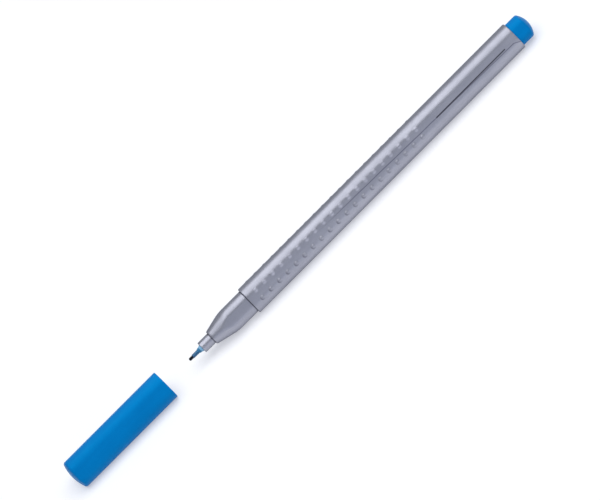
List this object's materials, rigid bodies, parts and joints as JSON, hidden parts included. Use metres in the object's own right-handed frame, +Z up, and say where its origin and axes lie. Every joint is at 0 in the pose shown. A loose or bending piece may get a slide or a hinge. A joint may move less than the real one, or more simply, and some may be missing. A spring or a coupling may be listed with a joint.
{
  "type": "fineliner pen",
  "caption": "Slim three-sided fibre-tip pen with rows of low grip nubs on its barrel, a tapered nose, a coloured end plug and a push-on cap taken off.",
  "frame": {"origin": "middle of the whole length, cap included, on the surface that the pen lies on", "axes": "+X along the pen's axis from the nib towards the end plug, +Z up from the side it lies on, with a corner of the three-sided barrel uppermost"},
  "size_m": [0.1958, 0.0102, 0.0098],
  "materials": {
    "silver_plastic": "semi-gloss moulded plastic with silver pigment",
    "blue_plastic": "satin moulded plastic",
    "light_blue_plastic": "semi-gloss moulded plastic",
    "liner_plastic": "natural soft moulded plastic",
    "nib_steel": "drawn tube stained by ink",
    "nib_fibre": "bonded fibre soaked with ink",
    "wick_fibre": "bonded fibre soaked with ink",
    "ink_fibre": "bonded fibre soaked with ink",
    "clear_film": "thin wrapped film"
  },
  "bodies": {
    "pen": {"barrel": "silver_plastic", "nose_section": "silver_plastic", "nib_collar": "light_blue_plastic", "nib_tube": "nib_steel", "nib_point": "nib_fibre", "feed_wick": "wick_fibre", "ink_reservoir": "ink_fibre", "reservoir_sleeve": "clear_film", "end_plug": "blue_plastic"},
    "cap": {"cap_shell": "blue_plastic", "cap_inner_seal": "liner_plastic"}
  },
  "joints": [
    {"name": "cap_slide", "type": "slide", "parent": "pen", "child": "cap", "axis": [1, 0, 0], "range_m": [0, 0.0355]}
  ]
}
